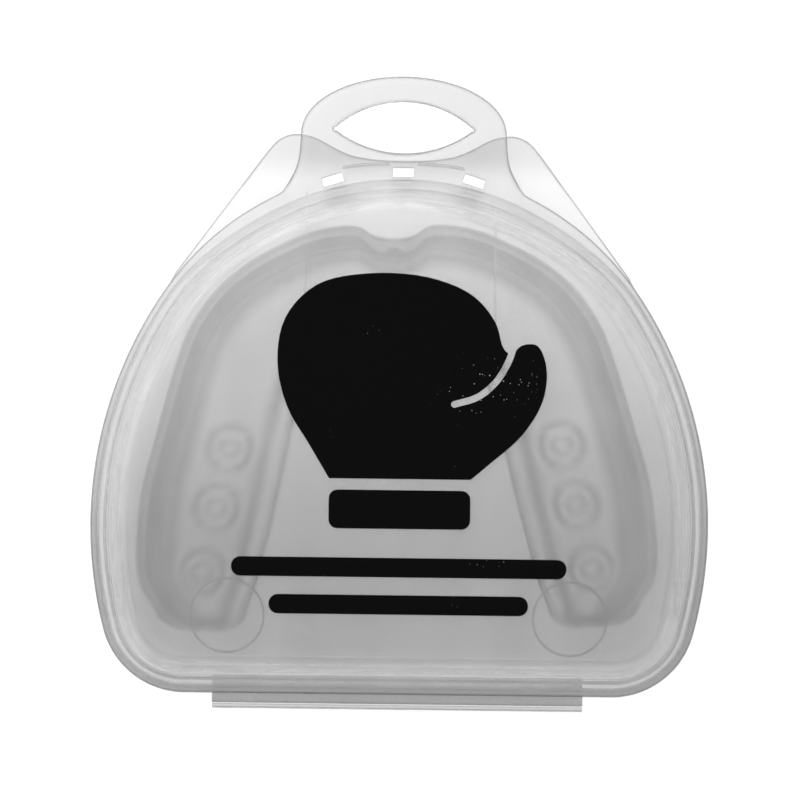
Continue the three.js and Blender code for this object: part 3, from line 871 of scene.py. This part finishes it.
def guard_rubber():
    """Colourless soft guard moulding: translucent, satin, faintly cloudy, with painted shade on the
    tall rim walls and steep skin.
    """
    material, nodes, links = blank_material("guard_rubber")

    output = nodes.new("ShaderNodeOutputMaterial")
    output.label = "Guard out"
    rubber = nodes.new("ShaderNodeBsdfPrincipled")
    rubber.label = "Colourless soft moulding"
    straight = nodes.new("ShaderNodeBsdfTransparent")
    straight.label = "Light straight through the guard"
    bulk = nodes.new("ShaderNodeMixShader")
    bulk.label = "Bent light and straight light"
    place = nodes.new("ShaderNodeTexCoord")
    place.label = "Place on the guard"

    body_frame = nodes.new("NodeFrame")
    body_frame.label = "Cloudiness and painted shade in the body"
    cloud = nodes.new("ShaderNodeTexNoise")
    cloud.label = "Cloudy body"
    shade = nodes.new("ShaderNodeValToRGB")
    shade.label = "Body tone"
    clear = nodes.new("ShaderNodeMapRange")
    clear.label = "How clear the body is"
    split = nodes.new("ShaderNodeSeparateXYZ")
    split.label = "Height on the guard"
    # Painted shade: the guard's tone darkens from 14.5 mm up, over its tall rim walls.
    wall = nodes.new("ShaderNodeMapRange")
    wall.label = "Tall rim walls, painted shade"
    rim_painted_shade = nodes.new("ShaderNodeMix")
    rim_painted_shade.label = "Body tone and painted rim shade"
    lean = nodes.new("ShaderNodeSeparateXYZ")
    lean.label = "Which way the skin leans"
    lean_up = nodes.new("ShaderNodeMath")
    lean_up.label = "Up or down alike"
    steep = nodes.new("ShaderNodeMapRange")
    steep.label = "Steep skin"
    # Painted shade: steep skin of the guard, told by which way it faces, gets a darker tone.
    steep_painted_shade = nodes.new("ShaderNodeMix")
    steep_painted_shade.label = "Steep skin, painted shade"

    skin_frame = nodes.new("NodeFrame")
    skin_frame.label = "Satin skin"
    grain = nodes.new("ShaderNodeTexNoise")
    grain.label = "Fine satin grain"
    satin = nodes.new("ShaderNodeMapRange")
    satin.label = "Satin from grain"
    relief = nodes.new("ShaderNodeBump")
    relief.label = "Grain relief"

    for node, spot in (
            (output, (1000, 0)), (rubber, (560, 0)), (straight, (560, 160)), (bulk, (820, 0)),
            (place, (-900, 0)), (cloud, (-640, 240)), (shade, (-400, 400)), (clear, (-400, 120)),
            (split, (-640, 640)), (wall, (-400, 680)), (rim_painted_shade, (-100, 480)), (lean, (-640, 900)),
            (lean_up, (-400, 900)), (steep, (-160, 860)), (steep_painted_shade, (140, 560)),
            (grain, (-640, -200)), (satin, (-400, -160)), (relief, (-140, -320))):
        node.location = spot

    for node in (cloud, shade, clear, split, wall, rim_painted_shade, lean, lean_up, steep, steep_painted_shade):
        node.parent = body_frame
    for node in (grain, satin, relief):
        node.parent = skin_frame

    bulk.inputs["Fac"].default_value = 0.5
    rubber.inputs["IOR"].default_value = 1.48
    cloud.inputs["Scale"].default_value = 60.0
    cloud.inputs["Detail"].default_value = 3.0
    shade.color_ramp.elements[0].position = 0.3
    shade.color_ramp.elements[0].color = grey(0.975)
    shade.color_ramp.elements[1].position = 0.7
    shade.color_ramp.elements[1].color = grey(0.995)
    for node, low, high, first, last in (
            (clear, 0.3, 0.7, 0.82, 0.90),
            (wall, 0.0145, 0.0170, 0.0, 1.0),
            (steep, 0.97, 0.5, 0.0, 1.0),
            (satin, 0.3, 0.7, 0.05, 0.12)):
        node.inputs["From Min"].default_value = low
        node.inputs["From Max"].default_value = high
        node.inputs["To Min"].default_value = first
        node.inputs["To Max"].default_value = last
    lean_up.operation = "ABSOLUTE"
    for node in (rim_painted_shade, steep_painted_shade):
        node.data_type = "RGBA"
    # Painted shade level on the steep skin.
    steep_painted_shade.inputs[7].default_value = grey(0.62)
    # Painted shade level on the tall rim walls.
    rim_painted_shade.inputs[7].default_value = grey(0.735)
    grain.inputs["Scale"].default_value = 800.0
    grain.inputs["Detail"].default_value = 3.0
    relief.inputs["Strength"].default_value = 0.15
    relief.inputs["Distance"].default_value = 0.00005

    links.new(place.outputs["Object"], cloud.inputs["Vector"])
    links.new(cloud.outputs["Fac"], shade.inputs["Fac"])
    links.new(cloud.outputs["Fac"], clear.inputs["Value"])
    links.new(place.outputs["Object"], split.inputs["Vector"])
    links.new(split.outputs["Z"], wall.inputs["Value"])
    links.new(wall.outputs["Result"], rim_painted_shade.inputs[0])
    links.new(shade.outputs["Color"], rim_painted_shade.inputs[6])
    links.new(place.outputs["Normal"], lean.inputs["Vector"])
    links.new(lean.outputs["Z"], lean_up.inputs[0])
    links.new(lean_up.outputs["Value"], steep.inputs["Value"])
    links.new(steep.outputs["Result"], steep_painted_shade.inputs[0])
    links.new(rim_painted_shade.outputs[2], steep_painted_shade.inputs[6])
    links.new(steep_painted_shade.outputs[2], rubber.inputs["Base Color"])
    links.new(clear.outputs["Result"], rubber.inputs["Transmission Weight"])
    links.new(place.outputs["Object"], grain.inputs["Vector"])
    links.new(grain.outputs["Fac"], satin.inputs["Value"])
    links.new(satin.outputs["Result"], rubber.inputs["Roughness"])
    links.new(grain.outputs["Fac"], relief.inputs["Height"])
    links.new(relief.outputs["Normal"], rubber.inputs["Normal"])
    links.new(steep_painted_shade.outputs[2], straight.inputs["Color"])
    links.new(rubber.outputs["BSDF"], bulk.inputs[1])
    links.new(straight.outputs["BSDF"], bulk.inputs[2])
    links.new(bulk.outputs["Shader"], output.inputs["Surface"])
    return material


def pad_print_ink():
    """Black pad print: dense ink with pinholes and a few rubs."""
    material, nodes, links = blank_material("pad_print_ink")

    output = nodes.new("ShaderNodeOutputMaterial")
    output.label = "Ink out"
    ink = nodes.new("ShaderNodeBsdfPrincipled")
    ink.label = "Black ink"
    place = nodes.new("ShaderNodeTexCoord")
    place.label = "Place on the print"

    hole_frame = nodes.new("NodeFrame")
    hole_frame.label = "Pinholes"
    specks = nodes.new("ShaderNodeTexVoronoi")
    specks.label = "Speck places"
    speck_cut = nodes.new("ShaderNodeMapRange")
    speck_cut.label = "Speck size"
    where = nodes.new("ShaderNodeTexNoise")
    where.label = "Where the ink starved"
    where_cut = nodes.new("ShaderNodeMapRange")
    where_cut.label = "Starved patches"
    holes = nodes.new("ShaderNodeMath")
    holes.label = "Specks in the patches"

    rub_frame = nodes.new("NodeFrame")
    rub_frame.label = "Rubs in the ink"
    rub_map = nodes.new("ShaderNodeMapping")
    rub_map.label = "Rubs lie one way"
    rubs = nodes.new("ShaderNodeTexNoise")
    rubs.label = "Fine rubs"
    rub_cut = nodes.new("ShaderNodeMapRange")
    rub_cut.label = "Deepest rubs"
    worn = nodes.new("ShaderNodeMath")
    worn.label = "Pinholes and rubs together"
    tone = nodes.new("ShaderNodeValToRGB")
    tone.label = "Ink to bare plastic"

    film_frame = nodes.new("NodeFrame")
    film_frame.label = "Ink film"
    film = nodes.new("ShaderNodeTexNoise")
    film.label = "Uneven film"
    film_gloss = nodes.new("ShaderNodeMapRange")
    film_gloss.label = "Satin of the film"
    film_bump = nodes.new("ShaderNodeBump")
    film_bump.label = "Film relief"

    for node, spot in (
            (output, (1100, 0)), (ink, (780, 0)), (place, (-1000, 0)), (specks, (-760, 260)),
            (speck_cut, (-520, 260)), (where, (-760, 20)), (where_cut, (-520, 20)),
            (holes, (-280, 160)), (rub_map, (-760, -260)), (rubs, (-520, -260)),
            (rub_cut, (-280, -260)), (worn, (-40, 40)), (tone, (180, 120)), (film, (-40, -420)),
            (film_gloss, (180, -300)), (film_bump, (420, -420))):
        node.location = spot

    for node in (specks, speck_cut, where, where_cut, holes):
        node.parent = hole_frame
    for node in (rub_map, rubs, rub_cut, worn, tone):
        node.parent = rub_frame
    for node in (film, film_gloss, film_bump):
        node.parent = film_frame

    ink.inputs["Specular IOR Level"].default_value = 0.04
    specks.inputs["Scale"].default_value = 1500.0
    for node, low, high, first, last in (
            (speck_cut, 0.17, 0.08, 0.0, 1.0),
            (where_cut, 0.52, 0.72, 0.0, 1.0),
            (rub_cut, 0.76, 0.84, 0.0, 1.0),
            (film_gloss, 0.3, 0.7, 0.45, 0.6)):
        node.inputs["From Min"].default_value = low
        node.inputs["From Max"].default_value = high
        node.inputs["To Min"].default_value = first
        node.inputs["To Max"].default_value = last
    for node, scale, detail in (
            (where, 95.0, 2.0), (rubs, 1100.0, 1.0), (film, 420.0, 3.0)):
        node.inputs["Scale"].default_value = scale
        node.inputs["Detail"].default_value = detail
    holes.operation = "MULTIPLY"
    rub_map.inputs["Rotation"].default_value = (0.0, 0.0, math.radians(-38))
    rub_map.inputs["Scale"].default_value = (1.0, 0.05, 1.0)
    worn.operation = "MAXIMUM"
    tone.color_ramp.elements[0].position = 0.25
    tone.color_ramp.elements[0].color = (0.0016, 0.0016, 0.0018, 1)
    tone.color_ramp.elements[1].position = 0.9
    tone.color_ramp.elements[1].color = grey(0.42)
    film_bump.inputs["Strength"].default_value = 0.1
    film_bump.inputs["Distance"].default_value = 0.00003

    links.new(place.outputs["Object"], specks.inputs["Vector"])
    links.new(specks.outputs["Distance"], speck_cut.inputs["Value"])
    links.new(place.outputs["Object"], where.inputs["Vector"])
    links.new(where.outputs["Fac"], where_cut.inputs["Value"])
    links.new(speck_cut.outputs["Result"], holes.inputs[0])
    links.new(where_cut.outputs["Result"], holes.inputs[1])
    links.new(place.outputs["Object"], rub_map.inputs["Vector"])
    links.new(rub_map.outputs["Vector"], rubs.inputs["Vector"])
    links.new(rubs.outputs["Fac"], rub_cut.inputs["Value"])
    links.new(holes.outputs["Value"], worn.inputs[0])
    links.new(rub_cut.outputs["Result"], worn.inputs[1])
    links.new(worn.outputs["Value"], tone.inputs["Fac"])
    links.new(tone.outputs["Color"], ink.inputs["Base Color"])
    links.new(place.outputs["Object"], film.inputs["Vector"])
    links.new(film.outputs["Fac"], film_gloss.inputs["Value"])
    links.new(film_gloss.outputs["Result"], ink.inputs["Roughness"])
    links.new(film.outputs["Fac"], film_bump.inputs["Height"])
    links.new(film_bump.outputs["Normal"], ink.inputs["Normal"])
    links.new(ink.outputs["BSDF"], output.inputs["Surface"])
    return material


def pale_floor_paint():
    """Plain pale studio floor with a faint grain."""
    material, nodes, links = blank_material("pale_floor_paint")
    output = nodes.new("ShaderNodeOutputMaterial")
    output.label = "Floor out"
    paint = nodes.new("ShaderNodeBsdfPrincipled")
    paint.label = "Pale matt paint"
    place = nodes.new("ShaderNodeTexCoord")
    place.label = "Place on the floor"
    grain = nodes.new("ShaderNodeTexNoise")
    grain.label = "Paint grain"
    tone = nodes.new("ShaderNodeValToRGB")
    tone.label = "Pale tone"

    for node, spot in (
            (output, (600, 0)), (paint, (300, 0)), (place, (-500, 0)), (grain, (-280, 0)),
            (tone, (-40, 0))):
        node.location = spot

    paint.inputs["Roughness"].default_value = 0.9
    paint.inputs["Specular IOR Level"].default_value = 0.1
    grain.inputs["Scale"].default_value = 30.0
    paint.inputs["Emission Color"].default_value = (1, 1, 1, 1)
    paint.inputs["Emission Strength"].default_value = FLOOR_GLOW
    tone.color_ramp.elements[0].color = grey(0.26)
    tone.color_ramp.elements[1].color = grey(0.28)
    links.new(place.outputs["Object"], grain.inputs["Vector"])
    links.new(grain.outputs["Fac"], tone.inputs["Fac"])
    links.new(tone.outputs["Color"], paint.inputs["Base Color"])
    links.new(paint.outputs["BSDF"], output.inputs["Surface"])
    return material


# ---- studio ----

def studio_world():
    """Even bright room, a little darker overhead and on the hinge side."""
    world = bpy.data.worlds.new("studio_room")
    scene.world = world
    world.use_nodes = True
    nodes = world.node_tree.nodes
    links = world.node_tree.links
    nodes.clear()
    output = nodes.new("ShaderNodeOutputWorld")
    output.label = "Room out"
    room = nodes.new("ShaderNodeBackground")
    room.label = "Room light"
    place = nodes.new("ShaderNodeTexCoord")
    place.label = "Direction"
    split = nodes.new("ShaderNodeSeparateXYZ")
    split.label = "Height and side"
    side = nodes.new("ShaderNodeMapRange")
    side.label = "Dim on the hinge side"
    above = nodes.new("ShaderNodeMapRange")
    above.label = "Dim overhead"
    level = nodes.new("ShaderNodeMath")
    level.label = "Room level"

    for node, spot in (
            (output, (700, 0)), (room, (480, 0)), (place, (-600, 0)), (split, (-400, 0)),
            (side, (-160, 120)), (above, (-160, -160)), (level, (80, 0))):
        node.location = spot

    for node, low, high, first, last in (
            (side, -0.9, 0.7, ROOM_HINGE_SIDE, ROOM_LOOP_SIDE),
            (above, 0.55, 0.95, 1.0, ROOM_OVERHEAD)):
        node.inputs["From Min"].default_value = low
        node.inputs["From Max"].default_value = high
        node.inputs["To Min"].default_value = first
        node.inputs["To Max"].default_value = last
    level.operation = "MULTIPLY"
    room.inputs["Color"].default_value = (1, 1, 1, 1)
    links.new(place.outputs["Generated"], split.inputs["Vector"])
    links.new(split.outputs["Y"], side.inputs["Value"])
    links.new(split.outputs["Z"], above.inputs["Value"])
    links.new(side.outputs["Result"], level.inputs[0])
    links.new(above.outputs["Result"], level.inputs[1])
    links.new(level.outputs["Value"], room.inputs["Strength"])
    links.new(room.outputs["Background"], output.inputs["Surface"])


def soft_lamp(name, place, size, power):
    """A wide rectangular lamp that faces the case."""
    lamp = bpy.data.lights.new(name, "AREA")
    lamp.shape = "RECTANGLE"
    lamp.size, lamp.size_y = size
    lamp.energy = power
    item = in_scene(name, lamp)
    item.location = place
    away = Vector(place) - LAMP_AIM
    item.rotation_euler = away.to_track_quat("Z", "Y").to_euler()


def floor():
    mesh = bpy.data.meshes.new("floor")
    corners = [(x * FLOOR_HALF, y * FLOOR_HALF, -FLOOR_DROP)
               for x, y in ((-1, -1), (1, -1), (1, 1), (-1, 1))]
    mesh.from_pydata(corners, [], [(0, 1, 2, 3)])
    piece = in_scene("floor", mesh)
    mesh.materials.append(pale_floor_paint())


def camera():
    """Straight down on the lid, the carry loop up."""
    lens = bpy.data.cameras.new("camera")
    lens.sensor_width = SENSOR_WIDE
    lens.lens = SENSOR_WIDE * CAMERA_HEIGHT / VIEW_WIDE
    lens.clip_start = 0.01
    item = in_scene("camera", lens)
    item.location = (CAMERA_AIM[0], CAMERA_AIM[1], CAMERA_AIM[2] + CAMERA_HEIGHT)
    item.rotation_euler = (0.0, 0.0, CAMERA_TURN)
    scene.camera = item


# ---- the part ----

# The edge level in each call sets how dark the painted shade line along the flange edges is.
case_plastic = clear_plastic(
    "case_plastic", flow_seed=0.0, tint=0.99, wall_blur=0.03, flange_edge_shade_level=0.5, milk=0.30)
hinge_plastic = clear_plastic(
    "hinge_plastic", flow_seed=0.37, tint=0.99, wall_blur=0.0, flange_edge_shade_level=0.8, milk=0.20)
lip_plastic = clear_plastic(
    "lip_plastic", flow_seed=0.71, tint=0.99, wall_blur=0.0, flange_edge_shade_level=0.6, milk=0.15)
guard_material = guard_rubber()
ink_material = pad_print_ink()

slot_holes = [(slot_loop(x, y, turn), -1.0, SLOT_EDGE_ROUND, (SLOT_EDGE_ROUND, SLOT_EDGE_ROUND))
              for x, y, turn in SLOTS]
eye_hole = (eye_loop(), -1.0, EYE_ROUND[1], EYE_ROUND)
half_case("case_base", "base", base_edge(), EAR_ROUND, slot_holes, foot=BASE_TOP_Z,
          depth=BASE_TOP_Z, up=-1, material=case_plastic, replaces=["base_shell"])
half_case("case_lid", "lid", lid_edge(), LOOP_ROUND, [eye_hole] + slot_holes, foot=LID_FOOT_Z,
          depth=CASE_DEPTH - LID_FOOT_Z, up=1, material=case_plastic, replaces=["lid_shell"])
base_lip(lip_plastic)
lid_pads(case_plastic)
lid_witness_lines(case_plastic)
snap_pads(case_plastic)
hinge_leaf("base_hinge_leaf", FOLD_LOW_Z, "base", hinge_plastic)
hinge_leaf("lid_hinge_leaf", FOLD_HIGH_Z, "lid", hinge_plastic)
hinge_strap(hinge_plastic)
mouthguard(guard_material)

for name in ("print_glove", "print_cuff", "print_stripe_1", "print_stripe_2"):
    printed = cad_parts[name]
    printed.data.materials.clear()
    printed.data.materials.append(ink_material)

studio_world()
soft_lamp("window_lamp", (-0.5, 0.5, 0.6), (1.6, 1.2), 10.0)
floor()
camera()
scene.view_settings.view_transform = "Standard"

bpy.context.view_layer.update()
